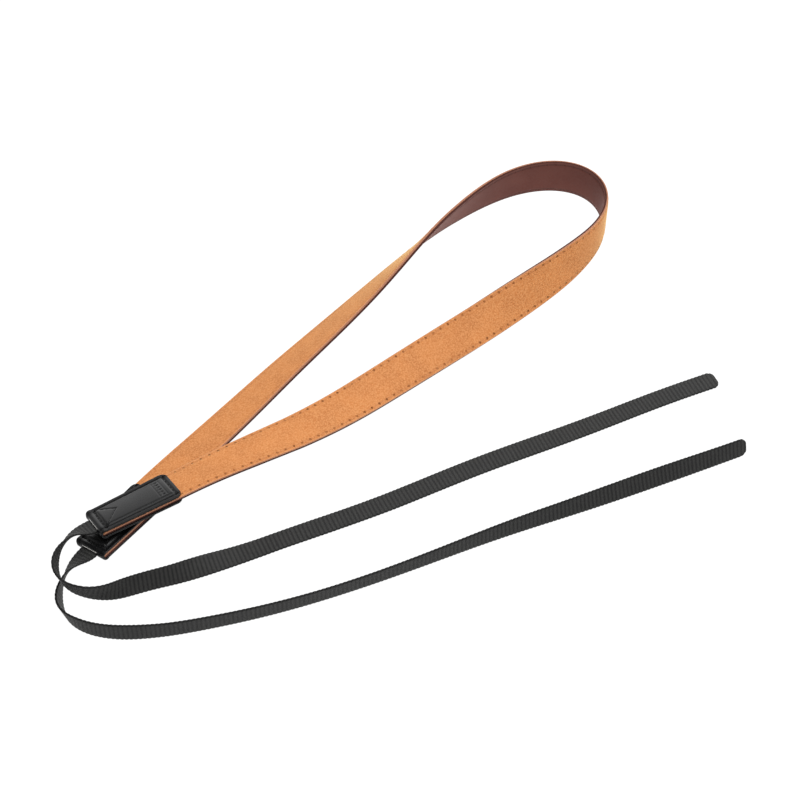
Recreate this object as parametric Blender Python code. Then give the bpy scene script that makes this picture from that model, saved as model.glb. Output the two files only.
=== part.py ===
"""Neck lanyard for a remote controller, lying on a flat surface.

A two-layer strap makes the neck loop: tan face outside, dark lining inside. Each end of
the strap is held in a folded leather tab, and the upper tab lies across the lower one.
A ribbed webbing tail leaves each tab through a slot in its fold and runs out past the loop.
+X is the upper tab's own direction, towards the loop. +Z is up. Lengths are in metres.
"""

import math

import bmesh
import bpy
import numpy as np

# Strap of the neck loop. The loop's length is measured between the two tabs.
STRAP_WIDTH = 0.020
FACE_THICKNESS = 0.001
LINING_THICKNESS = 0.001
LOOP_LENGTH = 0.630

# Webbing tails. Each length is measured from the tab's end to the free end.
WEBBING_WIDTH = 0.0095
WEBBING_THICKNESS = 0.0011
UPPER_TAIL_LENGTH = 0.387
LOWER_TAIL_LENGTH = 0.384
TAIL_END_FLAT = 0.012
TAIL_END_CORNER = 0.0035

# Folded leather tabs, which narrow with the strap's end towards the fold.
TAB_LENGTH = 0.043
TAB_NARROWING = 0.002
TAB_EDGE_MARGIN = 0.00025
TAB_PLY = 0.001
TAB_CORNER = 0.0035
FOLD_CORNER = 0.0015

# Clearances between pieces that meet, and how far the tabs keep apart where they cross.
GAP = 0.0003
SLOT_CLEARANCE = 0.0004
STRAP_END_SETBACK = 0.0006
CROSSING_RISE = 0.0067

# Lean of the strap's flat ends inside the tabs, in degrees. 90 is level.
UPPER_TAB_ROLL = 104
LOWER_TAB_ROLL = 80

# Fineness of the swept pieces: the longest step along them, and facets of round stretches.
STEP = 0.0026
FINE_STEPS = 8
FOLD_FACETS = 12
CORNER_FACETS = 4

# Sizes that follow from the ones above.
STRAP_THICKNESS = FACE_THICKNESS + GAP + LINING_THICKNESS
TAB_INNER_HALF = STRAP_THICKNESS / 2 + GAP
TAB_OUTER_HALF = TAB_INNER_HALF + TAB_PLY
TAB_WIDTH = STRAP_WIDTH + 2 * TAB_EDGE_MARGIN
STRAP_IN_TAB = TAB_LENGTH - TAB_OUTER_HALF - STRAP_END_SETBACK
WEBBING_IN_TAB = TAB_OUTER_HALF + STRAP_END_SETBACK - GAP
LOWER_TAB_HEIGHT = TAB_OUTER_HALF + TAB_EDGE_MARGIN
UPPER_TAB_HEIGHT = LOWER_TAB_HEIGHT + 2 * TAB_OUTER_HALF + CROSSING_RISE

# How each band lies, one row per section:
#   share  place of the row along the band, as a share of its length
#   turn   direction of travel in degrees, anticlockwise from the band's first direction
#   held   share of its tab's height that still lifts the band here
#   lift   extra height of the low edge above the surface, as a share of the band's width
#   roll   lean in degrees: 0 stands on its edge, 90 lies flat, positive leans to the left
STRAP_ROWS = (
    # share, turn, held, lift, roll
    (0.00, 0, 1.00, 0.00, UPPER_TAB_ROLL),
    (0.07, -2, 0.75, 0.01, 95),
    (0.17, 6, 0.30, 0.06, 79),
    (0.28, 6, 0.00, 0.24, 59),
    (0.38, 16, 0.00, 0.38, 24),
    (0.43, 34, 0.00, 0.37, 5),
    (0.47, 67, 0.00, 0.31, -3),
    (0.51, 123, 0.00, 0.29, -5),
    (0.56, 165, 0.00, 0.20, 1),
    (0.64, 188, 0.00, 0.13, 23),
    (0.74, 196, 0.00, 0.02, 51),
    (0.84, 197, 0.00, 0.05, 66),
    (0.93, 198, 0.20, 0.01, 77),
    (1.00, 200, 1.00, 0.00, LOWER_TAB_ROLL),
)
UPPER_TAIL_ROWS = (
    # share, turn, held, lift, roll
    (0.00, 0, 1.00, 0.00, 180 - UPPER_TAB_ROLL),
    (0.05, 47, 1.00, 0.00, 29),
    (0.09, 74, 1.00, 0.08, -11),
    (0.13, 130, 0.80, 0.12, -8),
    (0.18, 170, 0.30, 0.12, 23),
    (0.24, 166, 0.05, 0.06, 34),
    (0.32, 171, 0.00, 0.02, 81),
    (0.44, 170, 0.00, 0.03, 90),
    (0.58, 174, 0.00, 0.03, 89),
    (0.72, 171, 0.00, 0.03, 87),
    (0.86, 173, 0.00, 0.03, 90),
    (1.00, 170, 0.00, 0.03, 90),
)
LOWER_TAIL_ROWS = (
    # share, turn, held, lift, roll
    (0.00, 0, 1.00, 0.00, LOWER_TAB_ROLL),
    (0.05, 33, 0.20, 0.00, 18),
    (0.09, 56, 0.00, 0.03, -14),
    (0.13, 98, 0.00, 0.03, -2),
    (0.18, 125, 0.00, 0.04, 4),
    (0.24, 137, 0.00, 0.04, 0),
    (0.32, 142, 0.00, 0.04, -3),
    (0.44, 148, 0.00, 0.04, -6),
    (0.58, 151, 0.00, 0.04, -1),
    (0.72, 148, 0.00, 0.04, 13),
    (0.86, 150, 0.00, 0.04, 26),
    (1.00, 151, 0.00, 0.04, 18),
)

# Colours, as linear RGB, with the roughness of each surface.
TAN_LEATHER = (0.55, 0.23, 0.07)
BROWN_LINING = (0.13, 0.055, 0.04)
BLACK_LEATHER = (0.012, 0.012, 0.013)
BLACK_WEBBING = (0.018, 0.018, 0.019)

UP = np.array((0.0, 0.0, 1.0))


def clear_scene():
    """Take out whatever the scene holds."""
    for obj in list(bpy.data.objects):
        bpy.data.objects.remove(obj, do_unlink=True)


def make_material(name, colour, roughness):
    """A plain Principled material."""
    material = bpy.data.materials.new(name)
    material.use_nodes = True
    shader = material.node_tree.nodes["Principled BSDF"]
    shader.inputs["Base Color"].default_value = (*colour, 1)
    shader.inputs["Roughness"].default_value = roughness
    shader.inputs["Metallic"].default_value = 0
    material.diffuse_color = (*colour, 1)
    return material


def smooth_columns(rows, shares):
    """The columns of a band's rows at the given shares, level at both ends."""
    table = np.array(rows, dtype=float)
    place, value = table[:, 0], table[:, 1:]
    run = np.diff(place)[:, None]
    rise = np.diff(value, axis=0) / run
    slope = np.zeros_like(value)
    slope[1:-1] = (rise[:-1] * run[1:] + rise[1:] * run[:-1]) / (run[1:] + run[:-1])
    row = np.clip(np.searchsorted(place, shares, side="right") - 1, 0, len(place) - 2)
    width = run[row]
    t = (shares - place[row])[:, None] / width
    from_here = value[row] * (1 + 2 * t) * (1 - t) ** 2 + slope[row] * width * t * (1 - t) ** 2
    from_next = value[row + 1] * t * t * (3 - 2 * t) + slope[row + 1] * width * t * t * (t - 1)
    return (from_here + from_next).T


def unit(vectors):
    """The same directions with length one."""
    return vectors / np.linalg.norm(vectors, axis=-1, keepdims=True)


class Station:
    """A cross-section's place: its low edge, direction of travel, width and outer normal."""

    def __init__(self, low, forward, across):
        self.low = low
        self.forward = forward
        self.across = across
        self.outer = np.cross(forward, across)

    def moved(self, distance):
        """The same cross-section further along its own direction."""
        return Station(self.low + self.forward * distance, self.forward, self.across)


def lay_band(rows, length, width, thickness, start, bearing, heights, stop):
    """Stations of a band from its start to the distance stop, laid as its rows say.

    start is the low edge's first point, bearing the first direction in degrees, and
    heights the low edge's height in the tab at its first and at its last end.
    """
    count = math.ceil(length / STEP) * FINE_STEPS
    shares = np.linspace(0, 1, count + 1)
    turn, held, lift, roll = smooth_columns(rows, shares)
    heading = np.radians(bearing + turn)
    roll = np.radians(roll)
    carried = np.where(shares < 0.5, heights[0], heights[1])
    resting = thickness / 2 * np.sin(roll) ** 2 + width * np.maximum(0, -np.cos(roll))
    height = held * carried + (1 - held) * resting + lift * width
    climb = np.gradient(height, shares * length)
    level = np.sqrt(1 - climb ** 2)
    forward = np.stack([np.cos(heading) * level, np.sin(heading) * level, climb], axis=1)
    low = np.zeros_like(forward)
    low[1:] = np.cumsum((forward[1:] + forward[:-1]) / 2, axis=0) * length / count
    low[:, :2] += start[:2]
    low[:, 2] = height
    left = unit(np.cross(UP, forward))
    upright = np.cross(forward, left)
    across = np.cos(roll)[:, None] * upright + np.sin(roll)[:, None] * left
    kept = [i for i in range(0, count + 1, FINE_STEPS) if shares[i] * length <= stop]
    return [Station(low[i], forward[i], across[i]) for i in kept]


def sweep(name, sections, material):
    """One closed body through a list of four-cornered sections."""
    mesh = bpy.data.meshes.new(name)
    bm = bmesh.new()
    rings = [[bm.verts.new(corner) for corner in section] for section in sections]
    for ring, following in zip(rings, rings[1:]):
        for i in range(4):
            j = (i + 1) % 4
            bm.faces.new((ring[i], ring[j], following[j], following[i]))
    bm.faces.new(rings[0][::-1])
    bm.faces.new(rings[-1])
    bmesh.ops.recalc_face_normals(bm, faces=bm.faces)
    bm.to_mesh(mesh)
    bm.free()
    mesh.materials.append(material)
    obj = bpy.data.objects.new(name, mesh)
    bpy.context.collection.objects.link(obj)
    return obj


def section(station, sides, skins):
    """Four corners of a station's cross-section, between two sides and two skins."""
    low, high = sides
    inner, outer = skins
    corners = ((low, inner), (high, inner), (high, outer), (low, outer))
    return [station.low + station.across * y + station.outer * n for y, n in corners]


def rounded_end(corner):
    """Pairs of distance to the end and inset of the side, along a rounded corner."""
    angles = [math.pi / 2 * k / CORNER_FACETS for k in range(CORNER_FACETS + 1)]
    return [(corner * (1 - math.sin(a)), corner * (1 - math.cos(a))) for a in angles]


def narrowed(side, distance):
    """A distance from the middle line, at that distance from the tab's wide end."""
    return side * (1 - TAB_NARROWING / TAB_WIDTH * distance / TAB_LENGTH)


def make_strap(face_material, lining_material):
    """Both layers of the neck loop's strap. Returns its first and last cross-section."""
    heights = (UPPER_TAB_HEIGHT, LOWER_TAB_HEIGHT)
    stations = lay_band(
        STRAP_ROWS, LOOP_LENGTH, STRAP_WIDTH, STRAP_THICKNESS, np.zeros(3), 0, heights, LOOP_LENGTH
    )
    first, last = stations[0], stations[-1]
    middle, half = STRAP_WIDTH / 2, STRAP_THICKNESS / 2
    end_half = narrowed(middle, STRAP_IN_TAB)
    end_sides = (middle - end_half, middle + end_half)
    layers = (
        ("strap_face", (half - FACE_THICKNESS, half), face_material),
        ("strap_lining", (-half, LINING_THICKNESS - half), lining_material),
    )
    for name, skins, material in layers:
        sections = [section(s, (0, STRAP_WIDTH), skins) for s in stations]
        sections.insert(0, section(first.moved(-STRAP_IN_TAB), end_sides, skins))
        sections.append(section(last.moved(STRAP_IN_TAB), end_sides, skins))
        sweep(name, sections, material)
    return first, last


class TabFrame:
    """A tab's own frame: its middle at the wide end, its way out, and its face's normal."""

    def __init__(self, strap_end, way):
        self.origin = strap_end.low + strap_end.across * STRAP_WIDTH / 2
        self.out = strap_end.forward * way
        self.side = strap_end.across
        self.normal = strap_end.outer

    def point(self, out, side, normal):
        """A world point from the tab's own three distances."""
        return self.origin + self.out * out + self.side * side + self.normal * normal


def tab_profile():
    """Stations of the folded leather: outer point, inner point and half width of each.

    It runs along the upper ply, round the fold and back along the lower ply.
    """
    half = TAB_WIDTH / 2
    fold_start = TAB_LENGTH - TAB_OUTER_HALF
    ply = [(d, narrowed(half, d) - inset) for d, inset in reversed(rounded_end(TAB_CORNER))]
    profile = [((d, TAB_OUTER_HALF), (d, TAB_INNER_HALF), h) for d, h in ply]
    for k in range(FOLD_FACETS + 1):
        angle = math.pi * k / FOLD_FACETS
        x, z = math.sin(angle), math.cos(angle)
        outer = (fold_start + TAB_OUTER_HALF * x, TAB_OUTER_HALF * z)
        inner = (fold_start + TAB_INNER_HALF * x, TAB_INNER_HALF * z)
        reach = max(0, FOLD_CORNER - (TAB_LENGTH - outer[0]))
        inset = FOLD_CORNER - math.sqrt(FOLD_CORNER ** 2 - reach ** 2)
        profile.append((outer, inner, narrowed(half, outer[0]) - inset))
    profile += [((d, -TAB_OUTER_HALF), (d, -TAB_INNER_HALF), h) for d, h in reversed(ply)]
    return profile


def make_tab(name, frame, material):
    """A leather tab folded round the strap's end, with a slot in its fold for the webbing."""
    sections = []
    for outer, inner, half in tab_profile():
        corners = ((-half, inner), (half, inner), (half, outer), (-half, outer))
        sections.append([frame.point(x, side, z) for side, (x, z) in corners])
    tab = sweep(name, sections, material)

    slot_half = WEBBING_WIDTH / 2 + SLOT_CLEARANCE
    slot_rise = WEBBING_THICKNESS / 2 + SLOT_CLEARANCE
    signs = ((-1, -1), (1, -1), (1, 1), (-1, 1))
    ends = (TAB_LENGTH - 2 * TAB_PLY, TAB_LENGTH + TAB_PLY)
    sections = [[frame.point(x, s * slot_half, n * slot_rise) for s, n in signs] for x in ends]
    cutter = sweep(name + "_slot", sections, material)
    cutter.hide_render = True
    cutter.display_type = "WIRE"
    cut = tab.modifiers.new("slot", "BOOLEAN")
    cut.operation = "DIFFERENCE"
    cut.object = cutter


def make_tail(name, rows, length, frame, roll, material):
    """A webbing tail that leaves its tab's slot and ends in a flat, rounded stretch."""
    bearing = math.degrees(math.atan2(frame.out[1], frame.out[0]))
    left = unit(np.cross(UP, frame.out))
    across = math.cos(math.radians(roll)) * UP + math.sin(math.radians(roll)) * left
    start = frame.point(TAB_LENGTH, 0, 0) - across * WEBBING_WIDTH / 2
    run = length - TAIL_END_FLAT
    stations = lay_band(
        rows, length, WEBBING_WIDTH, WEBBING_THICKNESS, start, bearing, (start[2], start[2]), run
    )
    skins = (-WEBBING_THICKNESS / 2, WEBBING_THICKNESS / 2)
    sections = [section(s, (0, WEBBING_WIDTH), skins) for s in [stations[0].moved(-WEBBING_IN_TAB), *stations]]
    last = stations[-1]
    left_over = length - (len(stations) - 1) * length / math.ceil(length / STEP)
    for to_end, inset in rounded_end(TAIL_END_CORNER):
        sides = (inset, WEBBING_WIDTH - inset)
        sections.append(section(last.moved(left_over - to_end), sides, skins))
    sweep(name, sections, material)


def stand_on_origin():
    """Move everything so that the origin is under the middle of the lanyard."""
    objects = list(bpy.context.collection.objects)
    corners = np.array([v.co for obj in objects if not obj.hide_render for v in obj.data.vertices])
    lowest, highest = corners.min(axis=0), corners.max(axis=0)
    middle = (lowest + highest) / 2
    for obj in objects:
        obj.location = (-middle[0], -middle[1], -lowest[2])


def main():
    clear_scene()
    tan = make_material("tan_leather", TAN_LEATHER, 0.65)
    brown = make_material("brown_lining", BROWN_LINING, 0.55)
    leather = make_material("black_leather", BLACK_LEATHER, 0.4)
    webbing = make_material("black_webbing", BLACK_WEBBING, 0.75)

    first, last = make_strap(tan, brown)
    upper, lower = TabFrame(first, -1), TabFrame(last, 1)
    make_tab("tab_upper", upper, leather)
    make_tab("tab_lower", lower, leather)
    make_tail("tail_upper", UPPER_TAIL_ROWS, UPPER_TAIL_LENGTH, upper, 180 - UPPER_TAB_ROLL, webbing)
    make_tail("tail_lower", LOWER_TAIL_ROWS, LOWER_TAIL_LENGTH, lower, LOWER_TAB_ROLL, webbing)
    stand_on_origin()


main()
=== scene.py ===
"""Finish of the neck lanyard: its leather, stitching and ribbed webbing.

Each soft piece is first made flat, as it is cut and sewn, with x along it, y across it and
z out of its face. It is then laid along the route of the solid that it stands for, so it
lies where that solid lies. Lengths are in metres.
"""

import math

import bmesh
import bpy
import numpy as np
from mathutils import Matrix, Vector


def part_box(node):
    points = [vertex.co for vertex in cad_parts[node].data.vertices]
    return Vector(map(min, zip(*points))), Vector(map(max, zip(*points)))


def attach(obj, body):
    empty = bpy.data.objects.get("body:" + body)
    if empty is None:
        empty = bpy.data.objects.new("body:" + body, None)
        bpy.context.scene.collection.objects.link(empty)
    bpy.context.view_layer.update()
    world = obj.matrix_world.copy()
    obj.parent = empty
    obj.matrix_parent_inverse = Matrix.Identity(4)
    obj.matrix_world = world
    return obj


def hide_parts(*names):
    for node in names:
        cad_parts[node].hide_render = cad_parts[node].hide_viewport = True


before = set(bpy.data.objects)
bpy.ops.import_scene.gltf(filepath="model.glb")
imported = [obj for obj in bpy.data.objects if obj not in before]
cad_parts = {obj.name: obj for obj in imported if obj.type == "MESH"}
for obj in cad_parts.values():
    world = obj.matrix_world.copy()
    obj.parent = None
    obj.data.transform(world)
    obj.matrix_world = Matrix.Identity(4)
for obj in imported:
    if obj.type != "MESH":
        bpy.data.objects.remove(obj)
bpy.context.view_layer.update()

# Sizes of the strap, the webbing and the tabs, the same as their solids have.
STRAP_WIDTH = 0.020
FACE_THICKNESS = 0.001
LINING_THICKNESS = 0.001
LOOP_LENGTH = 0.630
WEBBING_WIDTH = 0.0095
WEBBING_THICKNESS = 0.0011
UPPER_TAIL_LENGTH = 0.387
LOWER_TAIL_LENGTH = 0.384
TAIL_END_CORNER = 0.0035
TAB_LENGTH = 0.043
TAB_NARROWING = 0.002
TAB_EDGE_MARGIN = 0.00025
TAB_PLY = 0.001
TAB_CORNER = 0.0035
FOLD_CORNER = 0.0015
GAP = 0.0003
SLOT_CLEARANCE = 0.0004
STRAP_END_SETBACK = 0.0006
CROSSING_RISE = 0.0067
UPPER_TAB_ROLL = 104
LOWER_TAB_ROLL = 80
STEP = 0.0026
FINE_STEPS = 8

STRAP_THICKNESS = FACE_THICKNESS + GAP + LINING_THICKNESS
TAB_INNER_HALF = STRAP_THICKNESS / 2 + GAP
TAB_OUTER_HALF = TAB_INNER_HALF + TAB_PLY
TAB_WIDTH = STRAP_WIDTH + 2 * TAB_EDGE_MARGIN
STRAP_IN_TAB = TAB_LENGTH - TAB_OUTER_HALF - STRAP_END_SETBACK
WEBBING_IN_TAB = TAB_OUTER_HALF + STRAP_END_SETBACK - GAP
LOWER_TAB_HEIGHT = TAB_OUTER_HALF + TAB_EDGE_MARGIN
UPPER_TAB_HEIGHT = LOWER_TAB_HEIGHT + 2 * TAB_OUTER_HALF + CROSSING_RISE

# How each band lies, as in its solid, one row per section:
#   share  place of the row along the band, as a share of its length
#   turn   direction of travel in degrees, anticlockwise from the band's first direction
#   held   share of its tab's height that still lifts the band here
#   lift   extra height of the low edge above the surface, as a share of the band's width
#   roll   lean in degrees: 0 stands on its edge, 90 lies flat, positive leans to the left
STRAP_ROWS = (
    # share, turn, held, lift, roll
    (0.00, 0, 1.00, 0.00, UPPER_TAB_ROLL),
    (0.07, -2, 0.75, 0.01, 95),
    (0.17, 6, 0.30, 0.06, 79),
    (0.28, 6, 0.00, 0.24, 59),
    (0.38, 16, 0.00, 0.38, 24),
    (0.43, 34, 0.00, 0.37, 5),
    (0.47, 67, 0.00, 0.31, -3),
    (0.51, 123, 0.00, 0.29, -5),
    (0.56, 165, 0.00, 0.20, 1),
    (0.64, 188, 0.00, 0.13, 23),
    (0.74, 196, 0.00, 0.02, 51),
    (0.84, 197, 0.00, 0.05, 66),
    (0.93, 198, 0.20, 0.01, 77),
    (1.00, 200, 1.00, 0.00, LOWER_TAB_ROLL),
)
UPPER_TAIL_ROWS = (
    # share, turn, held, lift, roll
    (0.00, 0, 1.00, 0.00, 180 - UPPER_TAB_ROLL),
    (0.05, 47, 1.00, 0.00, 29),
    (0.09, 74, 1.00, 0.08, -11),
    (0.13, 130, 0.80, 0.12, -8),
    (0.18, 170, 0.30, 0.12, 23),
    (0.24, 166, 0.05, 0.06, 34),
    (0.32, 171, 0.00, 0.02, 81),
    (0.44, 170, 0.00, 0.03, 90),
    (0.58, 174, 0.00, 0.03, 89),
    (0.72, 171, 0.00, 0.03, 87),
    (0.86, 173, 0.00, 0.03, 90),
    (1.00, 170, 0.00, 0.03, 90),
)
LOWER_TAIL_ROWS = (
    # share, turn, held, lift, roll
    (0.00, 0, 1.00, 0.00, LOWER_TAB_ROLL),
    (0.05, 33, 0.20, 0.00, 18),
    (0.09, 56, 0.00, 0.03, -14),
    (0.13, 98, 0.00, 0.03, -2),
    (0.18, 125, 0.00, 0.04, 4),
    (0.24, 137, 0.00, 0.04, 0),
    (0.32, 142, 0.00, 0.04, -3),
    (0.44, 148, 0.00, 0.04, -6),
    (0.58, 151, 0.00, 0.04, -1),
    (0.72, 148, 0.00, 0.04, 13),
    (0.86, 150, 0.00, 0.04, 26),
    (1.00, 151, 0.00, 0.04, 18),
)

# How much the strap thins towards its long edges, pinched most in its bend.
STRAP_THINNING = (
    # share of its length, thinning
    (0.00, 0.30),
    (0.35, 0.05),
    (0.50, 0.40),
    (0.62, 0.05),
    (1.00, 0.00),
)
STRAP_THINNED_WIDTH = 0.0030

# Strap surface, and its stitches as length, width and height.
STRAP_STEP = 0.001
STRAP_EDGE = 0.0003
STRAP_CUTS = 19
STRAP_STITCH_PITCH = 0.00465
STRAP_STITCH_INSET = 0.0017
STRAP_STITCH = (0.0036, 0.0004, 0.0002)

# Needle holes, darkened with painted shade, and how they fade from the front strap to the back one.
HOLE_RADIUS = 0.00080
HOLE_CORE = 0.45
HOLE_SINK = -3.0
SEAM_SPREAD = 1.6
FADE_START = LOOP_LENGTH * 0.4
FADE_END = LOOP_LENGTH * 0.6
BACK_HOLE_SHARE = 0.25

# The strap's end corners fill the sides of the tab's fold, clear of the webbing between them.
STRAP_TOE = 0.0018
STRAP_TOE_RUN = 0.0015
STRAP_TOE_START = 0.0062
FOLD_FILL = 0.95

# Ribs of the webbing, whose soft edges swell a little past the solid's.
RIB_PITCH = 0.00207
RIB_STEPS = 8
RIB_DEPTH = 0.26
RIB_SCALLOP = 0.06
WEBBING_EDGE = 0.0004
WEBBING_CUTS = 5
WEBBING_SWELL = 1.07

# Yarns of the webbing, its flecks and patches, and its dark selvages, from its middle line out.
YARN_HALF_WIDTH = 0.00019
FLECKS_PER_METRE = 900.0
PATCHES_PER_METRE = 150.0
SELVAGE_START = 0.0043
SELVAGE_FULL = 0.0049

# Tab leather: how far it is sewn down at its rim and how its panel swells.
TAB_STEP = 0.00035
TAB_EDGE = 0.00032
TAB_RIM_DROP = 0.00030
TAB_PANEL_RISE = 0.00012
TAB_PANEL_CROWN = 0.00045
TAB_PANEL_SHOULDER = 0.0017
TAB_FOLD_LINE = 0.0040
TAB_ROLL_RUN = 0.0020
TAB_INNER_DROP = 0.8 * GAP
FOLD_START = TAB_LENGTH - TAB_OUTER_HALF
FOLD_ARC = math.pi * (TAB_INNER_HALF + TAB_PLY / 2)
TAB_CUT_LENGTH = 2 * FOLD_START + FOLD_ARC

# Tab seams, and their stitches as length, width and height. The two seams across are bolder.
TAB_STITCH_INSET = 0.0023
TAB_STITCH_PITCH = 0.0028
TAB_STITCH = (0.0019, 0.00046, 0.00022)
TAB_GROOVE_DEPTH = 0.00026
TAB_GROOVE_WIDTH = 0.00040
CROSS_SEAM_BOLDNESS = 1.6
TAB_TRIANGLE_REACH = 0.0092
TAB_TRIANGLE_LEAN = 0.16

# Gloss coat of the tabs, which is duller at the rims and most in the long seams.
TAB_COAT = 0.78
TAB_COAT_ROUGHNESS = 0.31
TAB_RIM_DULLING = -0.42
TAB_SEAM_DULLING = -0.34

# Slot in the tab's fold, with a pale painted highlight on its lip above the webbing.
SLOT_HALF_WIDTH = (WEBBING_WIDTH / 2 + SLOT_CLEARANCE) / (1 - TAB_NARROWING / TAB_WIDTH)
SLOT_HALF_ANGLE = math.asin((WEBBING_THICKNESS / 2 + SLOT_CLEARANCE) / TAB_OUTER_HALF)
SLOT_HALF_ARC = SLOT_HALF_ANGLE * FOLD_ARC / math.pi
SLOT_LIP_HIGHLIGHT = 0.0005

# Pressed ornament near the tab's wide end: a row of small diamonds between two lines.
MOTIF_MIDDLE = 0.0076
MOTIF_HALF_WIDTH = 0.0018
MOTIF_HALF_LENGTH = 0.0060
MOTIF_LINE = 0.0002
MOTIF_FADE = 0.0004
MOTIF_DEPTH = 0.00026

# Its diamonds, with length and width as shares of the room between the lines and of their pitch.
DIAMOND_COUNT = 6
DIAMOND_LENGTH = 0.62
DIAMOND_WIDTH = 0.36
DIAMOND_EDGE = 1.05
DIAMOND_SOFTNESS = 0.25

# Rounds of a bevel, how much a cut end thins, and the angle past which an edge stays sharp.
BEVEL_SEGMENTS = 3
END_THINNING = 0.8
SHARP_ANGLE = math.radians(50)

# How closely an edge has to follow an axis, and a face to lie in a skin, to be taken for one.
ON_AXIS = 0.99
ON_SKIN = 0.9

# A stitch is a ball of few faces, set a little proud of the leather.
STITCH_SIDES = 8
STITCH_RINGS = 5
STITCH_PROUD = 0.25

# Colours of the tan layer, in linear light.
TAN_DARK = (0.485, 0.170, 0.050, 1)
TAN_LIGHT = (0.575, 0.208, 0.062, 1)
TAN_SPECK = (0.71, 0.316, 0.120, 1)
# The pale bevel colour is a painted highlight along the tan face's rounded edges.
TAN_BEVEL_HIGHLIGHT = (0.84, 0.48, 0.30, 1)
TAN_CUT = (0.37, 0.16, 0.10, 1)
# The seam and hole colours are painted shade in the seam grooves and needle holes.
TAN_SEAM_SHADE = (0.36, 0.125, 0.040, 1)
TAN_HOLE_SHADE = (0.22, 0.060, 0.012, 1)
TAN_NAP = (1.0, 0.78, 0.34, 1)
TAN_THREAD = (0.64, 0.25, 0.09)

# Colours of the brown lining.
BROWN_DARK = (0.144, 0.047, 0.036, 1)
BROWN_LIGHT = (0.172, 0.060, 0.046, 1)
BROWN_SPECK = (0.165, 0.070, 0.058, 1)
BROWN_MARGIN = (0.20, 0.090, 0.074, 1)
BROWN_CUT = (0.052, 0.011, 0.007, 1)
# This colour is painted shade along the lining's lower long edge.
BROWN_LOW_EDGE_SHADE = (0.032, 0.009, 0.007, 1)
# The seam and hole colours are painted shade in the seam grooves and needle holes.
BROWN_SEAM_SHADE = (0.06, 0.020, 0.016, 1)
BROWN_HOLE_SHADE = (0.03, 0.010, 0.008, 1)
BROWN_NAP = (1.0, 0.45, 0.35, 1)
BROWN_THREAD = (0.08, 0.030, 0.024)

# Colours of the tabs and the webbing.
BLACK_DARK = (0.004, 0.004, 0.0045, 1)
BLACK_LIGHT = (0.008, 0.008, 0.0085, 1)
BLACK_THREAD = (0.005, 0.005, 0.005)
# A painted highlight along the lip of the slot in the tab's fold.
LIP_HIGHLIGHT = (0.75, 0.73, 0.69, 1)
# The groove colour is painted shade in the grooves between the ribs.
RIB_GROOVE_SHADE = (0.008, 0.008, 0.008, 1)
RIB_CREST = (0.026, 0.026, 0.025, 1)
RIB_FLECK = (0.036, 0.036, 0.034, 1)
SELVAGE = (0.001, 0.001, 0.001, 1)

# How far in from a strap's long edges each finish, painted highlight and painted shade reaches.
TAN_BEVEL_HIGHLIGHT_REACH = 0.0006
TAN_CUT_REACH = 0.0004
BROWN_CUT_REACH = 0.0005
BROWN_LOW_EDGE_SHADE_REACH = 0.0009
BROWN_MARGIN_REACH = STRAP_STITCH_INSET * 1.3

# Depth of the fine relief of each finish.
TAN_GRAIN_DEPTH = 0.00012
BROWN_GRAIN_DEPTH = 0.0001
BLACK_GRAIN_DEPTH = 0.00005
YARN_DEPTH = 0.00008
TWIST_DEPTH = 0.00006

# How far the seams sink in the grain, as shares of its height.
TAN_SEAM_SINK = -0.5
BROWN_SEAM_SINK = -1.2

# Leather grain: how high its cells and its noise stand, and its nap's roughness.
GRAIN_CELLS = 0.6
GRAIN_NOISE = 0.8
NAP_ROUGHNESS = 0.35

# Ranges of a noise that make a speck, a patch, a rib's crest and a fleck.
SPECK_RANGE = (0.32, 0.68)
PATCH_RANGE = (0.3, 0.7)
CREST_RANGE = (0.25, 1.1)
FLECK_RANGE = (0.35, 0.65)

# Twist of the threads, and how dark their hollows are.
TWISTS_PER_METRE = 4000.0
TWIST_SHADE = 0.75

# The photograph's view.
VIEW_TARGET = Vector((0.0189, 0.0166, 0.0))
VIEW_HEADING = math.radians(57)
VIEW_ELEVATION = math.radians(50)
VIEW_DISTANCE = 0.945
VIEW_LENS = 85
VIEW_SENSOR = 36

# Studio light: a dim room with a bright back wall, a glowing floor and two soft lamps.
ROOM_LIGHT = 0.35
BACK_WALL_LIGHT = 1.3
BACK_WALL_HEADING = math.radians(62)
BACK_WALL_RISE = 0.09
BACK_WALL_EDGE = 0.62
FLOOR_SHADE = 0.08
FLOOR_GLOW = 1.0
FLOOR_HALF_SIZE = 6
LAMP_SIZE = 1.0
LAMPS = (
    # name, place in metres, power in watts
    ("window", (0.75, 0.1, 1.1), 11),
    ("overhead", (0.05, -0.35, 1.3), 9),
)

# Straight up, and the kinds of socket that the node groups have.
UP = np.array((0.0, 0.0, 1.0))
NUMBER = "NodeSocketFloat"
VECTOR = "NodeSocketVector"


def smooth_columns(rows, shares):
    """The columns of a band's rows at the given shares, level at both ends."""
    table = np.array(rows, dtype=float)
    place, value = table[:, 0], table[:, 1:]
    run = np.diff(place)[:, None]
    rise = np.diff(value, axis=0) / run
    slope = np.zeros_like(value)
    slope[1:-1] = (rise[:-1] * run[1:] + rise[1:] * run[:-1]) / (run[1:] + run[:-1])
    row = np.clip(np.searchsorted(place, shares, side="right") - 1, 0, len(place) - 2)
    width = run[row]
    t = (shares - place[row])[:, None] / width
    from_here = value[row] * (1 + 2 * t) * (1 - t) ** 2 + slope[row] * width * t * (1 - t) ** 2
    from_next = value[row + 1] * t * t * (3 - 2 * t) + slope[row + 1] * width * t * t * (t - 1)
    return (from_here + from_next).T


def unit(vectors):
    """The same directions with length one."""
    return vectors / np.linalg.norm(vectors, axis=-1, keepdims=True)


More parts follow.
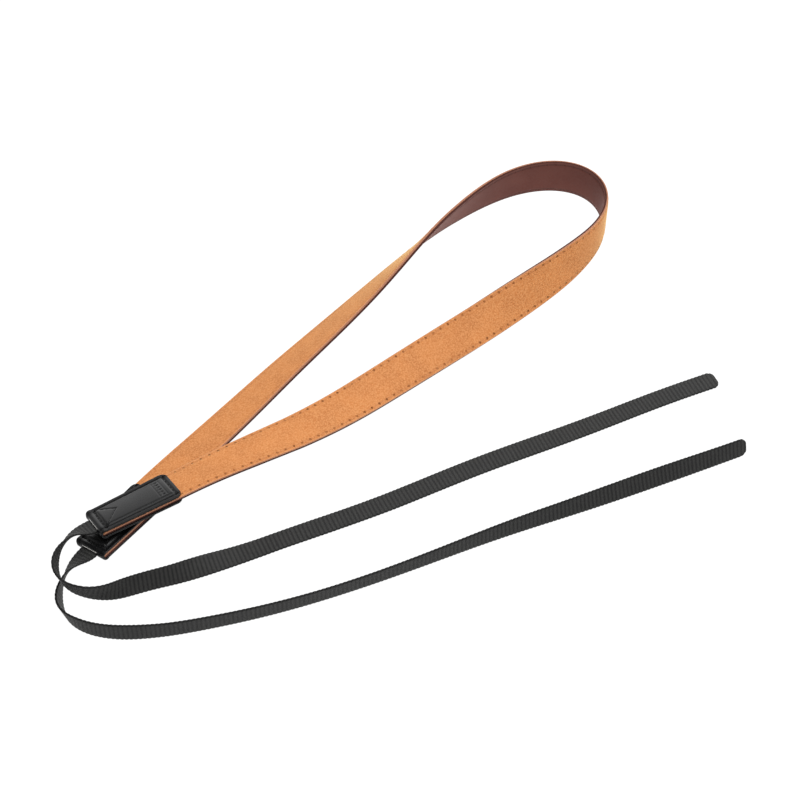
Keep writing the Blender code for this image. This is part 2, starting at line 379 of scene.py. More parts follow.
class Route:
    """Where a band lies: its low edge, direction of travel, width and outer normal."""

    def __init__(self, low, forward, across, spacing):
        self.low = low
        self.forward = forward
        self.across = across
        self.outer = np.cross(forward, across)
        self.spacing = spacing

    def shifted(self, shift):
        """The same route, moved."""
        return Route(self.low + shift, self.forward, self.across, self.spacing)

    def place(self, flat):
        """World points of flat ones, which run on straight before the start and past the end."""
        along, side, out = flat.T
        last = len(self.low) - 1
        spot = np.clip(along / self.spacing, 0, last)
        past = (along - spot * self.spacing)[:, None]
        here = np.minimum(spot.astype(int), last - 1)
        share = (spot - here)[:, None]

        def between(column):
            return column[here] * (1 - share) + column[here + 1] * share

        return (
            between(self.low)
            + between(self.forward) * past
            + between(self.across) * side[:, None]
            + between(self.outer) * out[:, None]
        )


def lay_band(rows, length, width, thickness, start, bearing, heights):
    """The route of a band from its start, laid as its rows say.

    start is the low edge's first point, bearing the first direction in degrees, and
    heights the low edge's height in the tab at its first and at its last end.
    """
    count = math.ceil(length / STEP) * FINE_STEPS
    shares = np.linspace(0, 1, count + 1)
    turn, held, lift, roll = smooth_columns(rows, shares)
    heading = np.radians(bearing + turn)
    roll = np.radians(roll)
    carried = np.where(shares < 0.5, heights[0], heights[1])
    resting = thickness / 2 * np.sin(roll) ** 2 + width * np.maximum(0, -np.cos(roll))
    height = held * carried + (1 - held) * resting + lift * width
    climb = np.gradient(height, shares * length)
    level = np.sqrt(1 - climb ** 2)
    forward = np.stack([np.cos(heading) * level, np.sin(heading) * level, climb], axis=1)
    low = np.zeros_like(forward)
    low[1:] = np.cumsum((forward[1:] + forward[:-1]) / 2, axis=0) * length / count
    low[:, :2] += start[:2]
    low[:, 2] = height
    left = unit(np.cross(UP, forward))
    upright = np.cross(forward, left)
    across = np.cos(roll)[:, None] * upright + np.sin(roll)[:, None] * left
    return Route(low, forward, across, length / count)


def strap_route():
    """The strap's route, moved so that it lies where its solids lie."""
    heights = (UPPER_TAB_HEIGHT, LOWER_TAB_HEIGHT)
    route = lay_band(STRAP_ROWS, LOOP_LENGTH, STRAP_WIDTH, STRAP_THICKNESS, np.zeros(3), 0, heights)
    stations = np.arange(0, len(route.low), FINE_STEPS) * route.spacing
    stations = np.concatenate([[-STRAP_IN_TAB], stations, [LOOP_LENGTH + STRAP_IN_TAB]])
    half = STRAP_THICKNESS / 2
    corners = [
        route.place(np.stack([stations, 0 * stations + side, 0 * stations + out], axis=1))
        for side in (0, STRAP_WIDTH)
        for out in (half - FACE_THICKNESS, half)
    ]
    lowest = np.concatenate(corners).min(axis=0)
    return route.shifted(np.array(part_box("strap_face")[0]) - lowest)


class TabPlace:
    """Where a tab is: its middle at the wide end, its way out, and its face's normal.

    It is mirrored where it lies against the strap's direction.
    """

    def __init__(self, route, station, way):
        self.mirrored = way < 0
        self.origin = route.low[station] + route.across[station] * STRAP_WIDTH / 2
        self.out = route.forward[station] * way
        self.side = route.across[station]
        self.normal = route.outer[station]

    def point(self, out, side, normal):
        """World points from the tab's own three distances."""
        out, side, normal = (np.asarray(d)[..., None] for d in (out, side, normal))
        return self.origin + self.out * out + self.side * side + self.normal * normal

    def place(self, flat):
        """World points of the flat cut, folded round the strap's end."""
        along, side, out = flat.T
        folded = np.clip((along - FOLD_START) / FOLD_ARC, 0, 1) * math.pi
        radius = TAB_INNER_HALF + out
        straight = np.minimum(along, FOLD_START) - np.maximum(0, along - FOLD_START - FOLD_ARC)
        reach = straight + radius * np.sin(folded)
        past = np.clip(FOLD_CORNER - TAB_LENGTH + reach, 0, FOLD_CORNER)
        rounding = (FOLD_CORNER - np.sqrt(FOLD_CORNER ** 2 - past ** 2)) / (TAB_WIDTH / 2)
        return self.point(reach, narrowed(side, reach) * (1 - rounding), radius * np.cos(folded))


def tail_route(rows, length, tab, roll):
    """The route of a webbing tail that leaves its tab's fold."""
    bearing = math.degrees(math.atan2(tab.out[1], tab.out[0]))
    left = unit(np.cross(UP, tab.out))
    across = math.cos(math.radians(roll)) * UP + math.sin(math.radians(roll)) * left
    start = tab.point(TAB_LENGTH, 0, 0) - across * WEBBING_WIDTH / 2
    return lay_band(
        rows, length, WEBBING_WIDTH, WEBBING_THICKNESS, start, bearing, (start[2], start[2])
    )


def narrowed(side, distance):
    """A distance from the middle line, at that distance from the tab's wide end."""
    return side * (1 - TAB_NARROWING / TAB_WIDTH * distance / TAB_LENGTH)


def ease(value):
    """From 0 to 1 with level ends."""
    value = np.clip(value, 0, 1)
    return value * value * (3 - 2 * value)


def long_edges(bm, axis):
    """Edges that run along an axis."""
    return [e for e in bm.edges if abs((e.verts[1].co - e.verts[0].co).normalized()[axis]) > ON_AXIS]


def flat_bar(start, stop, sides, skins, edge, steps, cuts):
    """A flat bar along x with rounded long edges, in equal steps, as a bmesh."""
    low, high = sides
    inner, outer = skins
    bm = bmesh.new()
    section = ((low, inner), (high, inner), (high, outer), (low, outer))
    corners = [bm.verts.new((start, y, z)) for y, z in section]
    bm.faces.new(corners)
    bmesh.ops.bevel(
        bm, geom=corners, offset=edge, segments=BEVEL_SEGMENTS, profile=0.5, affect="VERTICES", material=-1
    )
    made = bmesh.ops.extrude_face_region(bm, geom=bm.faces[:])["geom"]
    far_end = [g for g in made if isinstance(g, bmesh.types.BMVert)]
    bmesh.ops.translate(bm, verts=far_end, vec=(stop - start, 0, 0))
    bmesh.ops.subdivide_edges(bm, edges=long_edges(bm, 0), cuts=steps - 1, use_grid_fill=True)
    bmesh.ops.subdivide_edges(bm, edges=long_edges(bm, 1), cuts=cuts, use_grid_fill=True)
    bmesh.ops.recalc_face_normals(bm, faces=bm.faces[:])
    return bm


def flat_points(mesh):
    """The mesh's points as rows of an array."""
    points = np.empty(len(mesh.vertices) * 3)
    mesh.vertices.foreach_get("co", points)
    return points.reshape(-1, 3)


def finish_piece(name, bm, shape, place, material, slot, nodes=(), mirrored=False):
    """The laid piece: its flat form is kept as its UV map, in metres.

    A place that mirrors the flat form turns its faces inwards, so they are turned back.
    """
    mesh = bpy.data.meshes.new(name)
    bm.to_mesh(mesh)
    bm.free()
    flat = shape(flat_points(mesh)) if shape else flat_points(mesh)
    corner_points = np.empty(len(mesh.loops), dtype=int)
    mesh.loops.foreach_get("vertex_index", corner_points)
    layer = mesh.uv_layers.new(name="flat")
    layer.uv.foreach_set("vector", flat[corner_points, :2].ravel())
    mesh.vertices.foreach_set("co", place(flat).ravel())
    if mirrored:
        mesh.flip_normals()
    mesh.update()
    mesh.shade_smooth()
    mesh.set_sharp_from_angle(angle=SHARP_ANGLE)
    mesh.materials.append(material)
    piece = bpy.data.objects.new(name, mesh)
    bpy.context.scene.collection.objects.link(piece)
    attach(piece, "root")
    if nodes:
        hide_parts(*nodes)


def round_off(flat, length, middle, half, corner, edge):
    """Both ends of a flat cut with rounded corners and a softened edge.

    Near each end, x first counts along the corner's arc, so the arc is evenly stepped.
    """
    along, side, out = flat.T.copy()
    arc = corner * math.pi / 2
    full = length + 2 * (arc - corner)
    to_end = np.minimum(along, full - along)
    angle = np.clip(to_end / arc, 0, 1) * math.pi / 2
    inset = corner * (1 - np.sin(angle))
    reach = np.where(to_end < arc, corner * (1 - np.cos(angle)), to_end - arc + corner)
    along = np.where(along < full / 2, reach, length - reach)
    side = middle + (side - middle) * (half - inset) / half
    thin = np.sqrt(1 - (1 - np.clip(reach / edge, 0, 1)) ** 2)
    centre = (out.min() + out.max()) / 2
    out = centre + (out - centre) * (1 - (1 - thin) * END_THINNING)
    return np.stack([along, side, out], axis=1)


def arc_length(length, corner):
    """Length of a cut whose rounded ends are counted along their corners' arcs."""
    return length + 2 * corner * (math.pi / 2 - 1)


def new_stitch():
    """A plain ball, which each stitch stretches to its own size."""
    bm = bmesh.new()
    bmesh.ops.create_uvsphere(bm, u_segments=STITCH_SIDES, v_segments=STITCH_RINGS, radius=1)
    mesh = bpy.data.meshes.new("stitch")
    bm.to_mesh(mesh)
    bm.free()
    return mesh


def sew(bm, stitch, first, last, size, height):
    """Add one stitch between two flat points, with its middle at the given height."""
    run = Vector(last) - Vector(first)
    middle = (Vector(first) + Vector(last)) / 2
    turned = Matrix.Rotation(math.atan2(run.y, run.x), 4, "Z")
    sized = Matrix.Diagonal((*(d / 2 for d in size), 1))
    copy = stitch.copy()
    copy.transform(Matrix.Translation((middle.x, middle.y, height)) @ turned @ sized)
    bm.from_mesh(copy)
    bpy.data.meshes.remove(copy)


def strap_stitches(stitch, height):
    """Two rows of stitches along the strap, on the skin at that height."""
    bm = bmesh.new()
    count = math.floor(LOOP_LENGTH / STRAP_STITCH_PITCH)
    for side in (STRAP_STITCH_INSET, STRAP_WIDTH - STRAP_STITCH_INSET):
        for k in range(count):
            ends = [(x * STRAP_STITCH_PITCH, side) for x in (k, k + 1)]
            sew(bm, stitch, *ends, STRAP_STITCH, height)
    return bm


def rib_crest(along):
    """Height of the webbing's ribs, from 0 in a groove to 1 on a crest."""
    return np.sqrt(np.abs(np.sin(math.pi * along / RIB_PITCH)))


def ribbed(flat):
    """Flat webbing with its cross ribs, scalloped edges and rounded, sealed end."""
    along, side, out = flat.T.copy()
    groove = 1 - rib_crest(along)
    middle = WEBBING_WIDTH / 2
    out *= 1 - RIB_DEPTH * groove
    side = middle + (side - middle) * WEBBING_SWELL * (1 - RIB_SCALLOP * groove)
    return np.stack([along, side, out], axis=1)


def tail_shape(length):
    """How a flat tail is ribbed and rounded off at its free end."""
    full = length + WEBBING_IN_TAB
    half = WEBBING_WIDTH / 2
    hidden = np.array((WEBBING_IN_TAB, 0, 0))

    def shape(flat):
        return ribbed(round_off(flat + hidden, full, half, half, TAIL_END_CORNER, WEBBING_EDGE) - hidden)

    return shape


def make_tail(name, route, length, material):
    """A ribbed webbing tail, in place of its solid."""
    full = arc_length(length + WEBBING_IN_TAB, TAIL_END_CORNER)
    steps = math.ceil(full / RIB_PITCH * RIB_STEPS)
    start, stop = -WEBBING_IN_TAB, full - WEBBING_IN_TAB
    half = WEBBING_THICKNESS / 2
    bm = flat_bar(start, stop, (0, WEBBING_WIDTH), (-half, half), WEBBING_EDGE, steps, WEBBING_CUTS)
    shape = tail_shape(length)
    finish_piece(name + "_webbing", bm, shape, route.place, material, "black_webbing", [name])


def tab_seams():
    """The tab's lines of stitching: two ends, from its wide end and its middle, and boldness."""
    side = TAB_WIDTH / 2 - TAB_STITCH_INSET
    near = TAB_STITCH_INSET
    far = TAB_LENGTH - TAB_FOLD_LINE
    tip = (far - TAB_TRIANGLE_REACH, side * TAB_TRIANGLE_LEAN)
    return (
        ((far, -side), (near, -side), 1),
        ((near, -side), (near, side), CROSS_SEAM_BOLDNESS),
        ((near, side), (far, side), 1),
        ((far, side), (far, -side), CROSS_SEAM_BOLDNESS),
        ((far, side), tip, 1),
        (tip, (far, -side), 1),
    )


def distance_to_seam(reach, side, first, last):
    """Distance from flat points to one straight line of stitching."""
    (x0, y0), (x1, y1) = first, last
    run = np.array((x1 - x0, y1 - y0))
    share = ((reach - x0) * run[0] + (side - y0) * run[1]) / (run @ run)
    share = np.clip(share, 0, 1)
    return np.hypot(reach - x0 - share * run[0], side - y0 - share * run[1])


def motif_depth(reach, side):
    """How deep the pressed ornament is at a flat point of the upper ply."""
    away = np.abs(reach - MOTIF_MIDDLE)
    inside = ease((MOTIF_HALF_LENGTH - np.abs(side)) / MOTIF_FADE)
    line = np.exp(-(((away - MOTIF_HALF_WIDTH) / MOTIF_LINE) ** 2)) * inside
    pitch = 2 * MOTIF_HALF_LENGTH / DIAMOND_COUNT
    across = np.abs((side + MOTIF_HALF_LENGTH) % pitch - pitch / 2)
    size = away / (MOTIF_HALF_WIDTH * DIAMOND_LENGTH) + across / (pitch * DIAMOND_WIDTH)
    diamond = ease((DIAMOND_EDGE - size) / DIAMOND_SOFTNESS) * inside
    return MOTIF_DEPTH * np.maximum(line, diamond)


def tab_relief(reach, side, upper):
    """How far the tab's outer skin stands off its flat place."""
    rim = np.minimum(TAB_WIDTH / 2 - np.abs(side), reach) - TAB_STITCH_INSET
    to_fold_line = TAB_LENGTH - TAB_FOLD_LINE - reach
    panel = ease(np.minimum(rim, to_fold_line) / TAB_PANEL_SHOULDER)
    roll = ease(-to_fold_line / TAB_ROLL_RUN)
    crown = 1 - (side / (TAB_WIDTH / 2 - TAB_STITCH_INSET)) ** 2
    relief = -TAB_RIM_DROP * (1 - np.maximum(panel, roll)) + TAB_PANEL_RISE * panel
    relief += TAB_PANEL_CROWN * np.clip(crown, 0, 1) * panel
    for first, last, boldness in tab_seams():
        away = distance_to_seam(reach, side, first, last)
        relief -= TAB_GROOVE_DEPTH * boldness * np.exp(-((away / TAB_GROOVE_WIDTH / boldness) ** 2))
    return relief - np.where(upper, motif_depth(reach, side), 0)


def tab_shape(flat):
    """A flat tab cut with rounded corners, swollen panel, seams and pressed ornament."""
    flat = round_off(flat, TAB_CUT_LENGTH, 0, TAB_WIDTH / 2, TAB_CORNER, TAB_EDGE)
    along, side, out = flat.T
    upper = along < TAB_CUT_LENGTH / 2
    reach = np.where(upper, along, TAB_CUT_LENGTH - along)
    relief = tab_relief(reach, side, upper)
    inner_drop = relief.clip(-TAB_INNER_DROP, 0)
    share = np.clip(out / TAB_PLY, 0, 1)
    return np.stack([along, side, out + relief * share + inner_drop * (1 - share)], axis=1)


def make_tab(name, tab, stitch, materials):
    """A folded and stitched leather tab, in place of its solid."""
    full = arc_length(TAB_CUT_LENGTH, TAB_CORNER)
    steps = math.ceil(full / TAB_STEP)
    cuts = math.ceil(TAB_WIDTH / TAB_STEP)
    half = TAB_WIDTH / 2
    bm = flat_bar(0, full, (-half, half), (0, TAB_PLY), TAB_EDGE, steps, cuts)

    def in_slot(face):
        middle = face.calc_center_median()
        near_middle = abs(middle.x - full / 2) < SLOT_HALF_ARC and abs(middle.y) < SLOT_HALF_WIDTH
        return near_middle and abs(face.normal.z) > ON_SKIN

    bmesh.ops.delete(bm, geom=[f for f in bm.faces if in_slot(f)], context="FACES")
    rim = [e for e in bm.edges if e.is_boundary]
    bmesh.ops.bridge_loops(bm, edges=rim)
    bmesh.ops.recalc_face_normals(bm, faces=bm.faces[:])
    seams = tab_stitches(stitch)
    for part, made, shape, material, nodes in (
        ("_leather", bm, tab_shape, "black_leather", [name]),
        ("_stitches", seams, None, "black_thread", []),
    ):
        finish_piece(
            name + part, made, shape, tab.place, materials[material], "black_leather", nodes, tab.mirrored
        )


def tab_stitches(stitch):
    """Stitches along the tab's seams, on both of its plies."""
    bm = bmesh.new()
    for first, last, boldness in tab_seams():
        first, last = Vector((*first, 0)), Vector((*last, 0))
        count = round((last - first).length / TAB_STITCH_PITCH)
        length, width, rise = TAB_STITCH
        size = (length, width * boldness, rise * boldness)
        for k in range(count):
            ends = [first.lerp(last, k / count), first.lerp(last, (k + 1) / count)]
            middle = (ends[0] + ends[1]) / 2
            relief = tab_relief(np.array([middle.x]), np.array([middle.y]), np.array([False]))[0]
            height = TAB_PLY + relief + rise * boldness * STITCH_PROUD
            sew(bm, stitch, *ends, size, height)
            under = [Vector((TAB_CUT_LENGTH - p.x, p.y, 0)) for p in ends]
            sew(bm, stitch, *under, size, height)
    return bm


def strap_shape(flat):
    """The flat strap with thinned edges, and ends that narrow in the tabs and fill the folds."""
    along, side, out = flat.T.copy()
    middle = STRAP_WIDTH / 2
    to_edge = middle - np.abs(side - middle)
    thinning = np.interp(along / LOOP_LENGTH, *np.transpose(STRAP_THINNING))
    out *= 1 - thinning * ease(1 - to_edge / STRAP_THINNED_WIDTH)
    in_tab = np.maximum(0, np.maximum(-along, along - LOOP_LENGTH))
    side = middle + narrowed(side - middle, in_tab)
    at_corner = ease((np.abs(side - middle) - STRAP_TOE_START) / STRAP_TOE_RUN)
    toe = STRAP_TOE * at_corner * ease((in_tab - STRAP_IN_TAB) / STRAP_TOE_RUN + 1)
    along = np.where(along < LOOP_LENGTH / 2, along - toe, along + toe)
    in_fold = np.clip(in_tab + toe - FOLD_START, 0, TAB_INNER_HALF)
    room = np.sqrt(TAB_INNER_HALF ** 2 - in_fold ** 2) * FOLD_FILL
    out *= np.minimum(1, room / (STRAP_THICKNESS / 2))
    return np.stack([along, side, out], axis=1)


def make_strap(route, stitch, materials):
    """The strap's tan face and dark lining with their stitches, in place of the solids."""
    start, stop = -STRAP_IN_TAB, LOOP_LENGTH + STRAP_IN_TAB
    steps = math.ceil((stop - start) / STRAP_STEP)
    half = STRAP_THICKNESS / 2
    between = LINING_THICKNESS + GAP / 2 - half

    def place(flat):
        return route.place(strap_shape(flat))

    for name, skins, sewn_skin, slot, thread in (
        ("strap_face", (between, half), half, "tan_leather", "tan_thread"),
        ("strap_lining", (-half, between), -half, "brown_lining", "brown_thread"),
    ):
        bm = flat_bar(start, stop, (0, STRAP_WIDTH), skins, STRAP_EDGE, steps, STRAP_CUTS)
        finish_piece(name + "_leather", bm, None, place, materials[slot], slot, [name])
        rows = strap_stitches(stitch, sewn_skin)
        finish_piece(name + "_stitches", rows, None, place, materials[thread], slot)


class Wiring:
    """Adds and joins the nodes of one node tree."""

    def __init__(self, tree):
        self.nodes = tree.nodes
        self.links = tree.links

    def feed(self, socket, value):
        """A link from another socket, or a plain value."""
        if isinstance(value, bpy.types.NodeSocket):
            self.links.new(value, socket)
        else:
            socket.default_value = value

    def add(self, kind, inputs=None, **settings):
        """A new node with its inputs fed and its settings made."""
        node = self.nodes.new(kind)
        for key, value in settings.items():
            setattr(node, key, value)
        for key, value in (inputs or {}).items():
            self.feed(node.inputs[key], value)
        return node

    def maths(self, operation, *values):
        """The result of one operation on values."""
        node = self.add("ShaderNodeMath", operation=operation)
        for socket, value in zip(node.inputs, values):
            self.feed(socket, value)
        return node.outputs[0]

    def wave(self, value, half):
        """Up from 0 to 1 and down again, each within half a wave."""
        return self.maths("DIVIDE", self.maths("PINGPONG", value, half), half)

    def span(self, value, low, high, to_low=0.0, to_high=1.0):
        """A value's place between two others, eased and held to the new range."""
        node = self.add("ShaderNodeMapRange", interpolation_type="SMOOTHSTEP")
        for socket, given in zip(node.inputs, (value, low, high, to_low, to_high)):
            self.feed(socket, given)
        return node.outputs[0]

    def blend(self, share, first, second):
        """A mix of two colours."""
        node = self.add("ShaderNodeMix", data_type="RGBA")
        for place, given in ((0, share), (6, first), (7, second)):
            self.feed(node.inputs[place], given)
        return node.outputs[2]

    def tint(self, colour, mask, share, other):
        """A colour turned towards another by a share of a mask."""
        return self.blend(self.maths("MULTIPLY", mask, share), colour, other)

    def group(self, group, **inputs):
        """The outputs of a node group placed here with its inputs fed."""
        node = self.add("ShaderNodeGroup", node_tree=group)
        for key, value in inputs.items():
            self.feed(node.inputs[key.replace("_", " ")], value)
        return node.outputs


def new_group(name, inputs, outputs):
    """A node group with named inputs and number outputs, and its wiring, start and end."""
    group = bpy.data.node_groups.new(name, "ShaderNodeTree")
    for socket, kind, value in inputs:
        made = group.interface.new_socket(socket, in_out="INPUT", socket_type=kind)
        if value is not None:
            made.default_value = value
    for socket in outputs:
        group.interface.new_socket(socket, in_out="OUTPUT", socket_type=NUMBER)
    wiring = Wiring(group)
    start = wiring.add("NodeGroupInput").outputs
    end = wiring.add("NodeGroupOutput").inputs
    return group, wiring, start, end


def grain_group():
    """Leather grain: small cells with creases, over slow changes of tone."""
    group, w, start, end = new_group(
        "leather_grain",
        [("Place", VECTOR, None), ("Cell Size", NUMBER, 0.0006), ("Patch Size", NUMBER, 0.01)],
        ["Height", "Speck", "Patch"],
    )
    per_metre = w.maths("DIVIDE", 1.0, start["Cell Size"])
    cells = w.add(
        "ShaderNodeTexVoronoi", {"Vector": start["Place"], "Scale": per_metre}, feature="SMOOTH_F1"
    )
    noise = w.add("ShaderNodeTexNoise", {"Vector": start["Place"], "Scale": per_metre, "Detail": 3.0})
    height = w.maths("MULTIPLY_ADD", cells.outputs["Distance"], -GRAIN_CELLS, GRAIN_CELLS)
    w.feed(end["Height"], w.maths("MULTIPLY_ADD", noise.outputs["Fac"], GRAIN_NOISE, height))
    w.feed(end["Speck"], w.span(noise.outputs["Fac"], *SPECK_RANGE))
    slow = w.maths("DIVIDE", 1.0, start["Patch Size"])
    patch = w.add("ShaderNodeTexNoise", {"Vector": start["Place"], "Scale": slow, "Detail": 2.0})
    w.feed(end["Patch"], w.span(patch.outputs["Fac"], *PATCH_RANGE))
    return group


def rim_group():
    """Nearness to a strap's two long edges, from its flat place."""
    group, w, start, end = new_group(
        "cut_rim",
        [("Flat Place", VECTOR, None), ("Width", NUMBER, STRAP_WIDTH), ("Reach", NUMBER, TAN_CUT_REACH)],
        ["Rim"],
    )
    across = w.add("ShaderNodeSeparateXYZ", {"Vector": start["Flat Place"]}).outputs["Y"]
    half = w.maths("MULTIPLY", start["Width"], 0.5)
    off_middle = w.maths("ABSOLUTE", w.maths("SUBTRACT", across, half))
    from_edge = w.maths("SUBTRACT", half, off_middle)
    w.feed(end["Rim"], w.span(from_edge, 0.0, start["Reach"], 1.0, 0.0))
    return group


def holes_group():
    """Needle holes in two rows along a strap, from its flat place."""
    group, w, start, end = new_group(
        "needle_holes",
        [
            ("Flat Place", VECTOR, None),
            ("Width", NUMBER, STRAP_WIDTH),
            ("Inset", NUMBER, STRAP_STITCH_INSET),
            ("Pitch", NUMBER, STRAP_STITCH_PITCH),
            ("Radius", NUMBER, HOLE_RADIUS),
        ],
        ["Hole", "Seam"],
    )
    flat = w.add("ShaderNodeSeparateXYZ", {"Vector": start["Flat Place"]}).outputs
    half = w.maths("MULTIPLY", start["Width"], 0.5)
    off_middle = w.maths("ABSOLUTE", w.maths("SUBTRACT", flat["Y"], half))
    off_row = w.maths("SUBTRACT", w.maths("SUBTRACT", half, off_middle), start["Inset"])
    half_pitch = w.maths("MULTIPLY", start["Pitch"], 0.5)
    off_hole = w.maths("PINGPONG", flat["X"], half_pitch)
    squared = w.maths("ADD", w.maths("MULTIPLY", off_row, off_row), w.maths("MULTIPLY", off_hole, off_hole))
    away = w.maths("SQRT", squared)
    inner = w.maths("MULTIPLY", start["Radius"], HOLE_CORE)
    w.feed(end["Hole"], w.span(away, inner, start["Radius"], 1.0, 0.0))
    off_row = w.maths("ABSOLUTE", off_row)
    seam_reach = w.maths("MULTIPLY", start["Radius"], SEAM_SPREAD)
    w.feed(end["Seam"], w.span(off_row, 0.0, seam_reach, 1.0, 0.0))
    return group


def new_material(name, roughness, specular):
    """A material with its Principled shader, and its wiring."""
    material = bpy.data.materials.new(name)
    material.use_nodes = True
    shader = material.node_tree.nodes["Principled BSDF"]
    shader.inputs["Roughness"].default_value = roughness
    shader.inputs["Specular IOR Level"].default_value = specular
    return material, Wiring(material.node_tree), shader


def add_nap(shader, weight, tint):
    """A soft nap that brightens the leather where it is seen at a low angle."""
    shader.inputs["Sheen Weight"].default_value = weight
    shader.inputs["Sheen Roughness"].default_value = NAP_ROUGHNESS
    shader.inputs["Sheen Tint"].default_value = tint


def add_bump(w, shader, height, distance, strength):
    """A bump from a height, in metres for a height of one."""
    bump = w.add("ShaderNodeBump", {"Height": height, "Distance": distance, "Strength": strength})
    w.feed(shader.inputs["Normal"], bump.outputs["Normal"])


def tan_leather(grain, rim, holes):
    """Matt, softly napped tan leather: mottled grain, pale bevels that carry a painted highlight, dark
    cuts, and needle holes and seam lines darkened with painted shade.

    The holes fade towards the strap's back end.
    """
    material, w, shader = new_material("tan_leather", 0.7, 0.14)
    add_nap(shader, 0.5, TAN_NAP)
    place = w.add("ShaderNodeTexCoord").outputs["Object"]
    flat = w.add("ShaderNodeUVMap", uv_map="flat").outputs["UV"]
    fine = w.group(grain, Place=place, Cell_Size=0.0008, Patch_Size=0.012)
    sewn = w.group(holes, Flat_Place=flat)
    bevel = w.group(rim, Flat_Place=flat, Reach=TAN_BEVEL_HIGHLIGHT_REACH)["Rim"]
    cut = w.group(rim, Flat_Place=flat, Reach=TAN_CUT_REACH)["Rim"]
    colour = w.blend(fine["Patch"], TAN_DARK, TAN_LIGHT)
    colour = w.tint(colour, fine["Speck"], 0.75, TAN_SPECK)
    # Painted highlight along the rounded long edges.
    colour = w.tint(colour, bevel, 0.5, TAN_BEVEL_HIGHLIGHT)
    colour = w.tint(colour, cut, 0.9, TAN_CUT)
    # Painted shade along the seam groove.
    colour = w.tint(colour, sewn["Seam"], 0.15, TAN_SEAM_SHADE)
    along = w.add("ShaderNodeSeparateXYZ", {"Vector": flat}).outputs["X"]
    faded = w.span(along, FADE_START, FADE_END, 1.0, BACK_HOLE_SHARE)
    uneven = w.maths("MULTIPLY_ADD", fine["Patch"], 0.5, 0.4)
    shown = w.maths("MULTIPLY", sewn["Hole"], w.maths("MULTIPLY", uneven, faded))
    # Painted shade in the needle holes.
    w.feed(shader.inputs["Base Color"], w.blend(shown, colour, TAN_HOLE_SHADE))
    low = w.maths("MULTIPLY_ADD", shown, HOLE_SINK, fine["Height"])
    low = w.maths("MULTIPLY_ADD", sewn["Seam"], TAN_SEAM_SINK, low)
    add_bump(w, shader, low, TAN_GRAIN_DEPTH, 1.0)
    return material


def brown_lining(grain, rim, holes):
    """Smooth dark brown lining with a faint nap, paler outside its seams and dark at the cut, with painted
    shade along its low edge, in its seam lines and in its needle holes.
    """
    material, w, shader = new_material("brown_lining", 0.55, 0.12)
    add_nap(shader, 0.15, BROWN_NAP)
    place = w.add("ShaderNodeTexCoord").outputs["Object"]
    flat = w.add("ShaderNodeUVMap", uv_map="flat").outputs["UV"]
    fine = w.group(grain, Place=place, Cell_Size=0.0012, Patch_Size=0.02)
    sewn = w.group(holes, Flat_Place=flat)
    margin = w.group(rim, Flat_Place=flat, Reach=BROWN_MARGIN_REACH)["Rim"]
    cut = w.group(rim, Flat_Place=flat, Reach=BROWN_CUT_REACH)["Rim"]
    # Painted shade along the lining's lower long edge only.
    low_edge_shade = w.group(rim, Flat_Place=flat, Width=2 * STRAP_WIDTH, Reach=BROWN_LOW_EDGE_SHADE_REACH)["Rim"]
    colour = w.blend(fine["Patch"], BROWN_DARK, BROWN_LIGHT)
    colour = w.tint(colour, fine["Speck"], 0.3, BROWN_SPECK)
    colour = w.tint(colour, margin, 0.35, BROWN_MARGIN)
    colour = w.tint(colour, cut, 0.9, BROWN_CUT)
    colour = w.tint(colour, low_edge_shade, 0.8, BROWN_LOW_EDGE_SHADE)
    # Painted shade along the seam groove and in the needle holes.
    colour = w.tint(colour, sewn["Seam"], 0.12, BROWN_SEAM_SHADE)
    colour = w.tint(colour, sewn["Hole"], 0.35, BROWN_HOLE_SHADE)
    w.feed(shader.inputs["Base Color"], colour)
    low = w.maths("MULTIPLY_ADD", sewn["Hole"], HOLE_SINK, fine["Height"])
    low = w.maths("MULTIPLY_ADD", sewn["Seam"], BROWN_SEAM_SINK, low)
    add_bump(w, shader, low, BROWN_GRAIN_DEPTH, 0.6)
    return material


